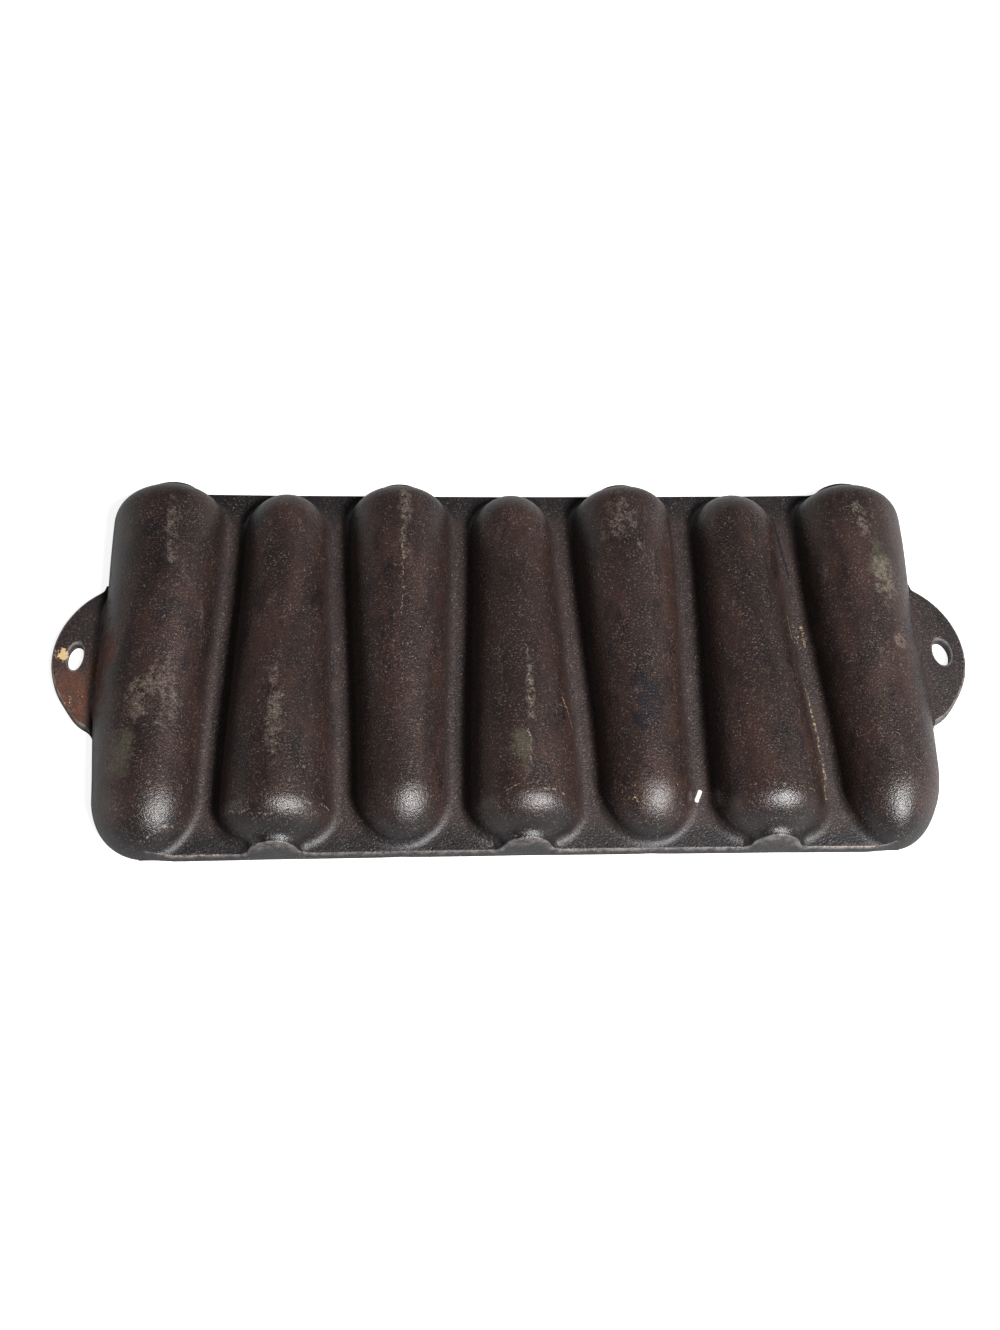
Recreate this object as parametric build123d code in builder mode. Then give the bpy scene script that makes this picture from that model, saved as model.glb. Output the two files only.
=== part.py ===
from build123d import *
import os

# Cast iron corn stick pan, lying on its rim with the sticks upwards.
# X runs along the pan, Y across it to the far edge, Z up from the rim. Millimetres and degrees.
# The sticks lie head to tail: the odd ones have their butt at the far edge, the even ones
# at the near edge. The casting is divided along the valleys, one mould to a stick.
# The outer flanks of the first and last stick run down to the rim and are the sides of the pan.

# Casting
stick_count = 7
pan_depth = 131.0
web_thickness = 3.4
wall = 3.2
casting_draft = 5.0
overrun = 5.0

# Outside of a stick, half round above the web
butt_radius = 16.4
tip_radius = 13.4
foot_fillet = 3.1
valley_flat = 0.6
tip_inset = 3.0
tip_dome_length = 16.0
end_tip_inset = 0.6

# Stem end, where the stick runs out to the edge of the pan
stem_radius = 7.5
stem_length = 3.2
neck_fillet = 3.0
shoulder_length = 4.0
shoulder_radius = 9.5

# Web-thick corner of the rim beside the stem of an end stick
rim_corner_radius = 12.0
rim_corner_setback = 0.3

# Mouth of a cavity
mouth_fillet = 0.8

# Hang ears
ear_reach = 15.9
ear_half_length = 25.5
ear_offset = 2.3
ear_thickness = 3.0
ear_blend = 5.0
ear_edge_fillet = 0.8
hole_width = 6.0
hole_length = 9.4
hole_from_tip = 7.9
ear_root_depth = 0.2

# Worked out from the sizes above
stick_pitch = butt_radius + tip_radius + 2 * foot_fillet + valley_flat
shoulder_end = stem_length + shoulder_length + shoulder_radius
dome_start = pan_depth - tip_inset - tip_dome_length
half_depth = pan_depth / 2
last_place = (stick_count - 1) * stick_pitch / 2
half_width = last_place + (butt_radius + tip_radius) / 2 + web_thickness
pan_height = web_thickness + butt_radius
valley_lean = (butt_radius - tip_radius) / 2
slab_reach = half_depth + overrun
rim_corner_width = butt_radius + web_thickness - rim_corner_setback
ear_radius = (ear_half_length**2 + ear_reach**2) / (2 * ear_reach)
ear_root_reach = ear_half_length + ear_blend

os.makedirs("parts", exist_ok=True)


def half_stick(inset, start, tip_gap):
    """Half the plan of a stick, X from the butt edge to the tip and Y out from its axis."""
    dome_length = pan_depth - tip_gap - dome_start - inset
    with BuildSketch() as half:
        with BuildLine():
            FilletPolyline(
                (start, stem_radius - inset),
                (stem_length + inset, stem_radius - inset),
                (stem_length + inset + shoulder_length, butt_radius - inset),
                (shoulder_end, butt_radius - inset),
                radius=(neck_fillet, shoulder_radius - inset),
            )
            Spline(
                (shoulder_end, butt_radius - inset),
                (dome_start, tip_radius - inset),
                tangents=((1, 0), (1, 0)),
            )
            EllipticalCenterArc((dome_start, 0), dome_length, tip_radius - inset, arc_size=90)
            Polyline(
                (dome_start + dome_length, 0),
                (start, 0),
                (start, stem_radius - inset),
            )
        make_face()
    return half.sketch


def flank_width(along):
    """Half the width of a stick at a place on its taper, measured from the butt edge."""
    share = (along - shoulder_end) / (dome_start - shoulder_end)
    return butt_radius - (butt_radius - tip_radius) * share**2 * (3 - 2 * share)


def outer_flank(side):
    """Outer quarter of an end stick, struck from the rim plane and as high as the inner one."""
    plane = Plane(
        origin=(side * last_place, half_depth, 0), x_dir=(0, -1, 0), z_dir=(0, 0, side)
    )
    with BuildPart() as flank:
        with BuildSketch(plane):
            with Locations((0, web_thickness)):
                add(half_stick(0, -overrun, end_tip_inset))
            with Locations((half_depth, web_thickness / 2)):
                Rectangle(pan_depth + 2 * overrun, web_thickness)
        revolve(axis=Axis(plane.origin, (0, -side, 0)), revolution_arc=90)
    return flank.part


flanks = {side: outer_flank(side) for side in (-1, 1)}

# Block with drafted near and far faces, against which every mould is trimmed
with BuildPart() as pan_block:
    with BuildSketch(Plane.XY):
        Rectangle(2 * (half_width + ear_reach), pan_depth)
    extrude(amount=pan_height + overrun, taper=casting_draft)

for number in range(1, stick_count + 1):
    place = (number - (stick_count + 1) / 2) * stick_pitch
    side = 1 if number % 2 else -1
    end = -1 if number == 1 else 1 if number == stick_count else 0
    tip_gap = end_tip_inset if end else tip_inset
    stick_plane = Plane(
        origin=(place, side * half_depth, web_thickness), x_dir=(0, -side, 0), z_dir=(0, 0, 1)
    )
    stick_axis = Axis(stick_plane.origin, stick_plane.x_dir)
    left_reach = stick_pitch if end < 0 else stick_pitch / 2
    right_reach = stick_pitch if end > 0 else stick_pitch / 2
    with BuildPart() as stick_mould:
        # Half-round stick on a slab of the web, with a fillet all round its foot
        with BuildSketch(Plane.XY):
            with Locations((place, 0)):
                Rectangle(2 * stick_pitch, pan_depth + 2 * overrun)
        extrude(amount=web_thickness)
        with BuildSketch(stick_plane):
            add(half_stick(0, -overrun, tip_gap))
        revolve(axis=stick_axis, revolution_arc=180)
        foot = (
            stick_mould.edges()
            .filter_by_position(Axis.Z, web_thickness, web_thickness)
            .filter_by(lambda edge: abs(edge.center().X - place) < stick_pitch - wall)
            .filter_by(lambda edge: abs(edge.center().Y) < half_depth)
        )
        fillet(foot, foot_fillet)

        # An end stick keeps its inner half and gets the flank that is the side of the pan
        if end:
            with BuildSketch(Plane.XY):
                with Locations((place - end * stick_pitch / 2, 0)):
                    Rectangle(stick_pitch, 2 * slab_reach)
            extrude(amount=pan_height + overrun, mode=Mode.INTERSECT)
            add(flanks[end])
            with BuildSketch(Plane.XY) as rim_corner:
                with Locations((place + end * rim_corner_width / 2, half_depth - shoulder_end / 2)):
                    Rectangle(rim_corner_width, shoulder_end)
                fillet(rim_corner.vertices().sort_by_distance((0, 0))[-1], rim_corner_radius)
            extrude(amount=web_thickness, taper=casting_draft)

        # Cavity, one wall inside the stick, open at the rim
        with BuildSketch(stick_plane):
            add(half_stick(wall, wall, tip_gap))
        revolve(axis=stick_axis, revolution_arc=180, mode=Mode.SUBTRACT)
        with BuildSketch(stick_plane):
            add(half_stick(wall, wall, tip_gap))
            mirror(about=Plane.XZ)
        extrude(amount=-web_thickness, mode=Mode.SUBTRACT)
        rim = stick_mould.faces().sort_by(Axis.Z)[0]
        fillet(rim.inner_wires()[0].edges(), mouth_fillet)

        # Trimmed to the edges of the pan and to the valleys on either side
        add(pan_block.part, mode=Mode.INTERSECT)
        with BuildSketch(Plane.XY):
            with BuildLine():
                Polyline(
                    (place - left_reach - side * valley_lean, slab_reach),
                    (place + right_reach + side * valley_lean, slab_reach),
                    (place + right_reach - side * valley_lean, -slab_reach),
                    (place - left_reach + side * valley_lean, -slab_reach),
                    close=True,
                )
            make_face()
        extrude(amount=pan_height + overrun, mode=Mode.INTERSECT)
    stick_mould.part.label = f"stick_mould_{number}"
    export_step(stick_mould.part, f"parts/stick_mould_{number}.step")

# Hang ears, flush with the rim, each with an oval hole and its root set into the flank
far_root = ear_offset + ear_root_reach
near_root = ear_offset - ear_root_reach
far_root_width = last_place + flank_width(half_depth - far_root) + web_thickness - ear_root_depth
near_root_width = last_place + flank_width(half_depth - near_root) + web_thickness - ear_root_depth
for name, side in (("hang_ear_left", -1), ("hang_ear_right", 1)):
    with BuildPart() as hang_ear:
        with BuildSketch(Plane.XY) as ear_plan:
            Polygon(
                (side * last_place, far_root),
                (side * far_root_width, far_root),
                (side * near_root_width, near_root),
                (side * last_place, near_root),
                align=None,
            )
            with Locations((side * (half_width + ear_reach - ear_radius), ear_offset)):
                Circle(ear_radius)
            with Locations((side * half_width, ear_offset)):
                Rectangle(
                    2 * (half_width - last_place), 2 * ear_root_reach, mode=Mode.INTERSECT
                )
            corners = (
                ear_plan.vertices()
                .filter_by(lambda corner: abs(corner.Y - ear_offset) < ear_root_reach - ear_root_depth)
                .filter_by(lambda corner: side * corner.X > half_width - ear_blend)
            )
            fillet(corners, ear_blend)
            with Locations((side * (half_width + ear_reach - hole_from_tip), ear_offset)):
                Ellipse(hole_width / 2, hole_length / 2, mode=Mode.SUBTRACT)
        extrude(amount=ear_thickness)
        rounded = (
            hang_ear.edges()
            .filter_by_position(Axis.Z, ear_thickness, ear_thickness)
            .filter_by(lambda edge: side * edge.center().X > half_width - ear_root_depth)
        )
        fillet(rounded, ear_edge_fillet)
        add(flanks[side], mode=Mode.SUBTRACT)
    hang_ear.part.label = name
    export_step(hang_ear.part, f"parts/{name}.step")
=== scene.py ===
import math
import bmesh
import bpy
from mathutils import Matrix, Vector, noise


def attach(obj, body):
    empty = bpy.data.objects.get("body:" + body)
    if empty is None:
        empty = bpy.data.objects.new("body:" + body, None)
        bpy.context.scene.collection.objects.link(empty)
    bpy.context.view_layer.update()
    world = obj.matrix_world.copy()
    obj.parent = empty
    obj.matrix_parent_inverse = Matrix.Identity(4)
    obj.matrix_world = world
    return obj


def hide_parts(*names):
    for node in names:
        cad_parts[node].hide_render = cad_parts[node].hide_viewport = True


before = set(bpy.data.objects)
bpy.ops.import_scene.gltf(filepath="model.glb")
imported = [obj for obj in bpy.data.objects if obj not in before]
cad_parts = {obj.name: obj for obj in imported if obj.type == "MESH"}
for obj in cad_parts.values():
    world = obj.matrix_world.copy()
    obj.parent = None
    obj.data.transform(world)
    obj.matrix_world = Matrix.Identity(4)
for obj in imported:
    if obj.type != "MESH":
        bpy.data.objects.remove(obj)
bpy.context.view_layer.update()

scene = bpy.context.scene
print("frame loaded:", len(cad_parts), "nodes")

# sizes in millimetres; the pan lies rim down with the sticks upwards

mm = 0.001
weld = 0.004                  # points closer than this are one
fineWeld = 0.0005

pan = {
    "depth": 131.0,
    "webThickness": 3.4,
    "draft": 5.0,             # degrees that the outside leans in
    "edgeRounding": 0.55,     # top edge of the rim and edge of the stem faces
    "roundedFrom": (0.5, 2.5),    # heights between which the top edge starts to be rounded
    "domeFade": 4.0,          # where the dome of an end stick runs out, that rounding dies away
    "lowerRounding": 0.3,     # edge that the pan stands on
    "flankFoot": 0.36,        # height at which the outer flanks start
}

# unevenness of the casting; a pair is from where to where it grows, or its middle and its reach
casting = {
    "waistNear": 0.6,         # how far the long edges draw in at the middle
    "waistFar": 1.2,
    "waistLength": 125.0,
    "waistGrowth": (30, 65),
    "farCornerSpread": 1.7,   # how far the last stick leans out at the far edge
    "spreadAlong": (62, 107),
    "spreadAcross": (4, 54),
    "flankGrowth": (104, 122),
    "flankFade": (129.5, 139.5),
    "leftSwell": 2.3,         # how far the left side bulges below the ear
    "leftPlace": (-15, 46),
    "rightSwell": 1.5,
    "rightPlace": (-20, 42),
    "rightDrawIn": 1.9,       # how far the near right corner draws in
    "drawInGrowth": (40, 56),
    "lumpHeight": 0.12,
    "lumpScale": 0.075,       # lumps per millimetre
    "lumpLevel": 0.6,
    "lumpGrowth": (1, 5),     # no lumps at the foot
}

stick = {
    "count": 7,
    "pitch": 36.6,
    "buttRadius": 16.4,
    "tipRadius": 13.4,
    "stemRadius": 7.5,
    "stemLength": 3.2,
    "stemOverrun": 4.0,       # how far it runs past the edge before it is trimmed
    "shoulderLength": 4.0,
    "shoulderRounding": 9.5,
    "neckRounding": 3.6,
    "tipInset": 3.0,
    "domeLength": 16.0,
    "endTipInset": 0.6,       # the first and last stick reach closer to the edge
    "rimCorner": 12.0,        # rounding of the rim beside the stem of an end stick
    "cornerSetback": 0.3,
    "cornerEnd": 18.0,
    "footFillet": 3.1,
    "taperSteps": 44,
    "domeSteps": 18,
    "webReach": 30.0,
    "webPastTip": 8.0,
    "valleyReach": 5.0,       # how far past the edge the line of a valley is drawn
    "webSteps": 5,
    "filletSteps": 7,
    "shellSteps": 42,
}

cavity = {
    "wall": 3.2,
    "mouthRounding": 0.8,
    "kernelRows": 8,          # rows of kernels round the half ear
    "kernelLength": 5.1,
    "kernelSteps": 6,         # faces along each side of a kernel
    "mouthSteps": 3,
    "wallSteps": 2,
    "ridgeHeight": 1.15,
    "ridgeFade": 8.0,         # radius below which the ridges get lower
    "plainStem": 9.0,         # smooth length at the stem end
    "plainTip": 2.5,
    "kernelFade": 4.0,
}

halfDepth = pan["depth"] / 2
web = pan["webThickness"]
domeStart = pan["depth"] - stick["tipInset"] - stick["domeLength"]
shoulderEnd = stick["stemLength"] + stick["shoulderLength"] + stick["shoulderRounding"]
lastPlace = (stick["count"] - 1) * stick["pitch"] / 2
valleyLean = (stick["buttRadius"] - stick["tipRadius"]) / 2
leanOfDraft = math.tan(math.radians(pan["draft"]))


def smooth(t):
    t = min(max(t, 0.0), 1.0)
    return t * t * (3 - 2 * t)


def rise(value, span):
    # 0 up to the start of the span, 1 from its end on
    return smooth((value - span[0]) / (span[1] - span[0]))


def hump(value, middle, reach):
    return smooth(1 - abs(value - middle) / reach)


# outline of a stick

def roundedCorner(before, corner, after, radius, steps):
    a = (before - corner).normalized()
    b = (after - corner).normalized()
    half = a.angle(b) / 2
    middle = corner + (a + b).normalized() * radius / math.sin(half)
    first = corner + a * radius / math.tan(half) - middle
    last = corner + b * radius / math.tan(half) - middle
    turn = first.angle(last)
    points = []
    for k in range(steps + 1):
        t = k / steps
        spoke = first * math.sin((1 - t) * turn) + last * math.sin(t * turn)
        points.append(middle + spoke / math.sin(turn))
    return points


def taperedRadius(along):
    t = (along - shoulderEnd) / (domeStart - shoulderEnd)
    return stick["buttRadius"] + (stick["tipRadius"] - stick["buttRadius"]) * smooth(t)


def stickOutline(inset, start, tipInset):
    # half a stick in plan: x from the butt edge to the tip, y out from the axis
    neck = Vector((stick["stemLength"] + inset, stick["stemRadius"] - inset))
    shoulder = Vector((neck.x + stick["shoulderLength"], stick["buttRadius"] - inset))
    level = Vector((shoulderEnd, shoulder.y))
    # the second point stays clear of the rounding of the neck
    path = [Vector((start, neck.y)), Vector(((start + neck.x) / 2 - 0.6, neck.y))]
    path += roundedCorner(path[-1], neck, shoulder, stick["neckRounding"], 6)
    path += roundedCorner(neck, shoulder, level, stick["shoulderRounding"] - inset, 12)
    first = path[-1].copy()
    dome = pan["depth"] - tipInset - domeStart - inset
    tip = stick["tipRadius"] - inset
    for k in range(1, stick["taperSteps"] + 1):
        t = k / stick["taperSteps"]
        along = first.x + (domeStart - first.x) * t
        path.append(Vector((along, first.y + (tip - first.y) * smooth(t))))
    for k in range(1, stick["domeSteps"] + 1):
        angle = math.pi / 2 * k / stick["domeSteps"]
        path.append(Vector((domeStart + dome * math.sin(angle), tip * math.cos(angle))))
    return path


def outlineNormals(path):
    normals = []
    for k in range(len(path)):
        along = path[min(k + 1, len(path) - 1)] - path[max(k - 1, 0)]
        normals.append(Vector((-along.y, along.x)).normalized())
    normals[-1] = Vector((1, 0))
    return normals


def outsideRows(radius, tipInset):
    # stations of the outside, up to where the foot fillets of both flanks meet past the tip
    path = stickOutline(0, -stick["stemOverrun"], tipInset)
    normals = outlineNormals(path)
    rows = []
    for k in range(len(path)):
        p, n = path[k], normals[k]
        if p.y + radius * n.y > radius + 0.02:
            rows.append((p, n))
            continue
        q, m = rows[-1]
        gap = (q.y + radius * m.y - radius) / ((q.y + radius * m.y) - (p.y + radius * n.y))
        rows.append((q.lerp(p, gap), m.lerp(n, gap).normalized()))
        break
    return rows


def rowOf(value, count):
    return round((value + 0.5) * count)


# outside of one stick, in its own frame: x from the butt edge, y across

def outsidePoint(row, column, rows, outerSide):
    radius = stick["footFillet"]
    p, n = rows[row]
    middle = stick["webSteps"] + stick["filletSteps"] + stick["shellSteps"] / 2
    if outerSide and (column - middle) * outerSide > 0:
        # outer flank of an end stick, struck from the rim plane
        reach = p.y + web
        spread = reach if p.x < domeStart else p.y * (1 + web / stick["tipRadius"])
        foot = pan["flankFoot"]
        k = middle - abs(column - middle)
        corner = stick["rimCorner"]
        edge = stick["buttRadius"] + web - stick["cornerSetback"] - corner
        edge += math.sqrt(max(corner * corner - min(p.x - corner, 0) ** 2, 0))
        inner = math.sqrt(max(reach * reach - web * web, 0))
        if p.x < stick["cornerEnd"] and edge > inner + 0.1 and reach > web:
            # side of the rim's corner beside the stem: how far in each point is, and how high
            sloped = [(0, foot), (0.1, 1.6), (0.2, 2.7), (0.3, 3.15), (0.7, web - 0.02)]
            if k < len(sloped):
                drawnIn, height = sloped[int(k)]
                across = max(edge - drawnIn, math.sqrt(reach * reach - height * height))
                return Vector((p.x, outerSide * across, height))
            lowest = math.asin(web / reach)
            t = (k - len(sloped)) / (middle - len(sloped))
        else:
            lowest = math.asin(min(foot / reach, 1.0))
            t = k / middle
        angle = lowest + (math.pi / 2 - lowest) * t
        return Vector((p.x, outerSide * spread * math.cos(angle), reach * math.sin(angle)))
    reach = p.y + radius * n.y
    lift = math.asin(min(1.0, radius / reach)) if row < len(rows) - 1 else math.pi / 2
    webSteps, filletSteps, shellSteps = stick["webSteps"], stick["filletSteps"], stick["shellSteps"]
    total = 2 * (webSteps + filletSteps) + shellSteps
    side = -1 if column <= total / 2 else 1
    k = min(column, total - column)
    footX = p.x + radius * n.x
    footY = reach * math.cos(lift)
    if k < webSteps:
        t = (k / webSteps) ** 0.6
        return Vector((footX, side * (stick["webReach"] * (1 - t) + footY * t), web))
    if k < webSteps + filletSteps:
        # round the ball that rests on the web and touches the stick
        centre = Vector((footX, side * footY, web + radius))
        towards = -Vector((n.x, side * n.y * math.cos(lift), n.y * math.sin(lift)))
        if row == len(rows) - 1:
            towards = -Vector((n.x, 0, n.y))
        t = (k - webSteps) / filletSteps
        return centre + radius * Vector((0, 0, -1)).slerp(towards, t)
    t = (column - webSteps - filletSteps) / shellSteps
    angle = lift + (math.pi - 2 * lift) * t
    return Vector((p.x, -p.y * math.cos(angle), web + p.y * math.sin(angle)))


def makeOutside(bm, tipInset, outerSide):
    rows = outsideRows(stick["footFillet"], tipInset)
    bm.verts.layers.float.new("edgeWear")
    across = 2 * (stick["webSteps"] + stick["filletSteps"]) + stick["shellSteps"]
    along = len(rows) - 1
    grid = bmesh.ops.create_grid(bm, x_segments=along, y_segments=across, size=0.5)["verts"]
    for v in grid:
        v.co = outsidePoint(rowOf(v.co.x, along), rowOf(v.co.y, across), rows, outerSide)
    bmesh.ops.remove_doubles(bm, verts=grid, dist=weld)
    # web past the tip
    end = max(v.co.x for v in bm.verts)
    edges = [
        e for e in bm.edges
        if e.is_boundary and all(abs(v.co.x - end) < 0.01 for v in e.verts)
    ]
    made = bmesh.ops.extrude_edge_only(bm, edges=edges)["geom"]
    strip = [g for g in made if isinstance(g, bmesh.types.BMVert)]
    bmesh.ops.translate(bm, verts=strip, vec=(stick["webPastTip"], 0, 0))
    bmesh.ops.recalc_face_normals(bm, faces=bm.faces)
    if sum(f.normal.z for f in bm.faces) < 0:
        bmesh.ops.reverse_faces(bm, faces=bm.faces)


# cavity with its rows of kernels

def cavityRows(tipInset):
    path = [Vector((cavity["wall"], 0.0))] + stickOutline(cavity["wall"], cavity["wall"], tipInset)
    lengths = [0.0]
    for a, b in zip(path, path[1:]):
        lengths.append(lengths[-1] + (b - a).length)
    count = round(lengths[-1] / (cavity["kernelLength"] / cavity["kernelSteps"]))
    rows = []
    k = 0
    for i in range(count + 1):
        s = lengths[-1] * i / count
        while k < len(path) - 2 and lengths[k + 1] < s:
            k += 1
        t = (s - lengths[k]) / (lengths[k + 1] - lengths[k])
        rows.append((path[k].lerp(path[k + 1], t), s))
    normals = outlineNormals([p for p, s in rows])
    normals[0] = Vector((-1, 0))
    return [(p, n, s) for (p, s), n in zip(rows, normals)], lengths[-1]


def kernelRelief(s, t, length):
    # 1 on the ridges between kernels, 0 at the bottom of each; every other row is half a kernel on
    rowPlace = t * cavity["kernelRows"]
    rowNumber = min(int(rowPlace), cavity["kernelRows"] - 1)
    across = rowPlace - rowNumber
    along = s / cavity["kernelLength"] + 0.5 * (rowNumber % 2)
    hollow = math.sqrt(max(math.sin(math.pi * across), 0) * abs(math.sin(math.pi * along)))
    fade = smooth((s - cavity["plainStem"]) / cavity["kernelFade"])
    fade *= smooth((length - s - cavity["plainTip"]) / cavity["kernelFade"])
    return (1 - hollow) * fade


def makeCavity(bm, tipInset):
    rows, length = cavityRows(tipInset)
    mouthSteps, wallSteps = cavity["mouthSteps"], cavity["wallSteps"]
    shellSteps = cavity["kernelRows"] * cavity["kernelSteps"]
    across = 2 * (mouthSteps + wallSteps) + shellSteps
    along = len(rows) - 1
    lip = cavity["mouthRounding"]
    grid = bmesh.ops.create_grid(bm, x_segments=along, y_segments=across, size=0.5)["verts"]
    for v in grid:
        row, column = rowOf(v.co.x, along), rowOf(v.co.y, across)
        p, n, s = rows[row]
        side = -1 if column <= across / 2 else 1
        k = min(column, across - column)
        radius = p.y if 0 < row < along else 0.0
        if k < mouthSteps:
            angle = math.pi / 2 * k / mouthSteps
            out = lip * (1 - math.sin(angle))
            v.co = (p.x + n.x * out, side * (radius + n.y * out), lip * (1 - math.cos(angle)))
        elif k < mouthSteps + wallSteps:
            t = (k - mouthSteps) / wallSteps
            v.co = (p.x, side * radius, lip + (web - lip) * t)
        else:
            t = (column - mouthSteps - wallSteps) / shellSteps
            angle = math.pi * t
            ridge = kernelRelief(s, t, length) * smooth(radius / cavity["ridgeFade"])
            inner = radius - cavity["ridgeHeight"] * ridge
            v.co = (p.x, -inner * math.cos(angle), web + inner * math.sin(angle))
    bmesh.ops.remove_doubles(bm, verts=grid, dist=weld)


# trimming to the edges of the pan and to the valleys

def trim(bm, point, direction, slope, known):
    # cuts off what lies outside the plane and notes which way the cut edge faces
    normal = Vector((direction.x, direction.y, slope)).normalized()
    cut = bmesh.ops.bisect_plane(
        bm, geom=bm.verts[:] + bm.edges[:] + bm.faces[:], dist=fineWeld,
        plane_co=(point.x, point.y, 0), plane_no=normal, clear_outer=True,
    )["geom_cut"]
    for g in cut:
        if isinstance(g, bmesh.types.BMVert):
            known.append((g, direction if slope else None))


def trimMould(bm, place, side, openHand):
    # what the points on the trimmed near and far edge face, and which points are in a valley
    known = []
    for hand in (-1, 1):
        if hand != openHand:
            # the valley leans with the taper of the sticks
            along = hand * (halfDepth + stick["valleyReach"])
            out = Vector((along, -side * valleyLean)).normalized()
            trim(bm, Vector((place + hand * stick["pitch"] / 2, 0)), out, 0, known)
    for hand in (-1, 1):
        out = Vector((0, hand))
        trim(bm, out * (halfDepth - pan["edgeRounding"]), out, leanOfDraft, known)
    bmesh.ops.remove_doubles(bm, verts=bm.verts, dist=weld)
    bm.normal_update()
    facing = {v: direction for v, direction in known if v.is_valid and direction}
    valley = {v for v, direction in known if v.is_valid and not direction}
    return facing, valley


def rimSources(bm, facing, valley, place, openHand):
    # for each point of the open edge: place, way out, normal of the surface, rounding and slope
    wear = bm.verts.layers.float["edgeWear"]
    sources = {}
    for v in bm.verts:
        if not any(e.is_boundary for e in v.link_edges):
            continue
        if v in facing:
            rounding = pan["edgeRounding"] * rise(v.co.z, pan["roundedFrom"])
            if openHand and facing[v].y < 0:
                # the dome of an end stick runs out at the near edge
                rounding *= smooth(-openHand * (v.co.x - place) / pan["domeFade"])
            sources[v] = (v.co.copy(), facing[v], v.normal.copy(), rounding, leanOfDraft)
        elif v in valley:
            sources[v] = (v.co.copy(), Vector((0, 0)), Vector((0, 0, 1)), pan["edgeRounding"], 0.0)
        else:
            sources[v] = (v.co.copy(), v.normal.to_2d().normalized(), v.normal.copy(), 0.0, 0.0)
        v[wear] = 0.5 if v in facing else 0.0
    return sources


def roundTheRim(bm, sources):
    # rounds the top edge, then goes down to the rim plane
    wear = bm.verts.layers.float["edgeWear"]
    low = pan["lowerRounding"]
    steps = [("top", math.radians(degrees)) for degrees in (30, 60, 90)]
    steps += [("low", low), ("low", low * 0.35), ("low", 0.0)]
    edges = [edge for edge in bm.edges if edge.is_boundary]
    for kind, amount in steps:
        made = bmesh.ops.extrude_edge_only(bm, edges=edges)["geom"]
        old = sources
        sources = {}
        for v in [g for g in made if isinstance(g, bmesh.types.BMVert)]:
            source = next(o for o in (edge.other_vert(v) for edge in v.link_edges) if o in old)
            co, out, surface, e, slope = old[source]
            if kind == "top":
                outwards = out.to_3d() * e * math.sin(amount)
                v.co = co + outwards - surface * e * (1 - math.cos(amount))
                v[wear] = out.length if e else 0.0
                sources[v] = (v.co.copy() if amount == steps[2][1] else co, out, surface, e, slope)
            else:
                drop = co.z - amount
                inset = low - math.sqrt(max(low * low - (low - amount) ** 2, 0))
                v.co = co + out.to_3d() * (slope * drop - inset) - Vector((0, 0, drop))
                v[wear] = 0.35 * out.length
                sources[v] = (co, out, surface, e, slope)
        edges = [g for g in made if isinstance(g, bmesh.types.BMEdge)]
    bmesh.ops.remove_doubles(bm, verts=bm.verts, dist=fineWeld)


def openTheMouth(bm, filled, outer):
    # keeps the faces that can be reached from the outer edge without crossing the edge of the mouth
    left = set(filled)
    reached = [face for edge in outer for face in edge.link_faces if face in left]
    left -= set(reached)
    while reached:
        face = reached.pop()
        for edge in face.edges:
            if len(edge.link_faces) == 2:
                for other in edge.link_faces:
                    if other in left:
                        left.remove(other)
                        reached.append(other)
    bmesh.ops.delete(bm, geom=list(left), context="FACES")


def closeBelow(bm, tipInset, intoPlace):
    # cavity from below, and the flat rim between its mouth and the outer edge
    outer = [edge for edge in bm.edges if edge.is_boundary]
    inner = bmesh.new()
    makeCavity(inner, tipInset)
    for face in inner.faces:
        face.material_index = 1
    bmesh.ops.transform(inner, matrix=intoPlace, verts=inner.verts)
    holder = bpy.data.meshes.new("cavity")
    inner.to_mesh(holder)
    inner.free()
    bm.from_mesh(holder)
    bpy.data.meshes.remove(holder)
    rim = [edge for edge in bm.edges if edge.is_boundary]
    filled = bmesh.ops.triangle_fill(
        bm, use_beauty=True, use_dissolve=False, edges=rim, normal=(0, 0, -1),
    )["geom"]
    openTheMouth(bm, [g for g in filled if isinstance(g, bmesh.types.BMFace)], outer)
    bmesh.ops.recalc_face_normals(bm, faces=bm.faces)


def makeMould(name, number):
    place = (number - (stick["count"] + 1) / 2) * stick["pitch"]
    side = 1 if number % 2 else -1
    openHand = {1: -1, stick["count"]: 1}.get(number, 0)
    outerSide = openHand * side     # in the stick's own frame
    tipInset = stick["endTipInset"] if outerSide else stick["tipInset"]
    bm = bmesh.new()
    makeOutside(bm, tipInset, outerSide)
    quarter = Matrix.Rotation(-side * math.pi / 2, 4, "Z")
    intoPlace = Matrix.Translation((place, side * halfDepth, 0)) @ quarter
    bmesh.ops.transform(bm, matrix=intoPlace, verts=bm.verts)
    facing, valley = trimMould(bm, place, side, openHand)
    roundTheRim(bm, rimSources(bm, facing, valley, place, openHand))
    closeBelow(bm, tipInset, intoPlace)
    return finishPiece(bm, name)


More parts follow.
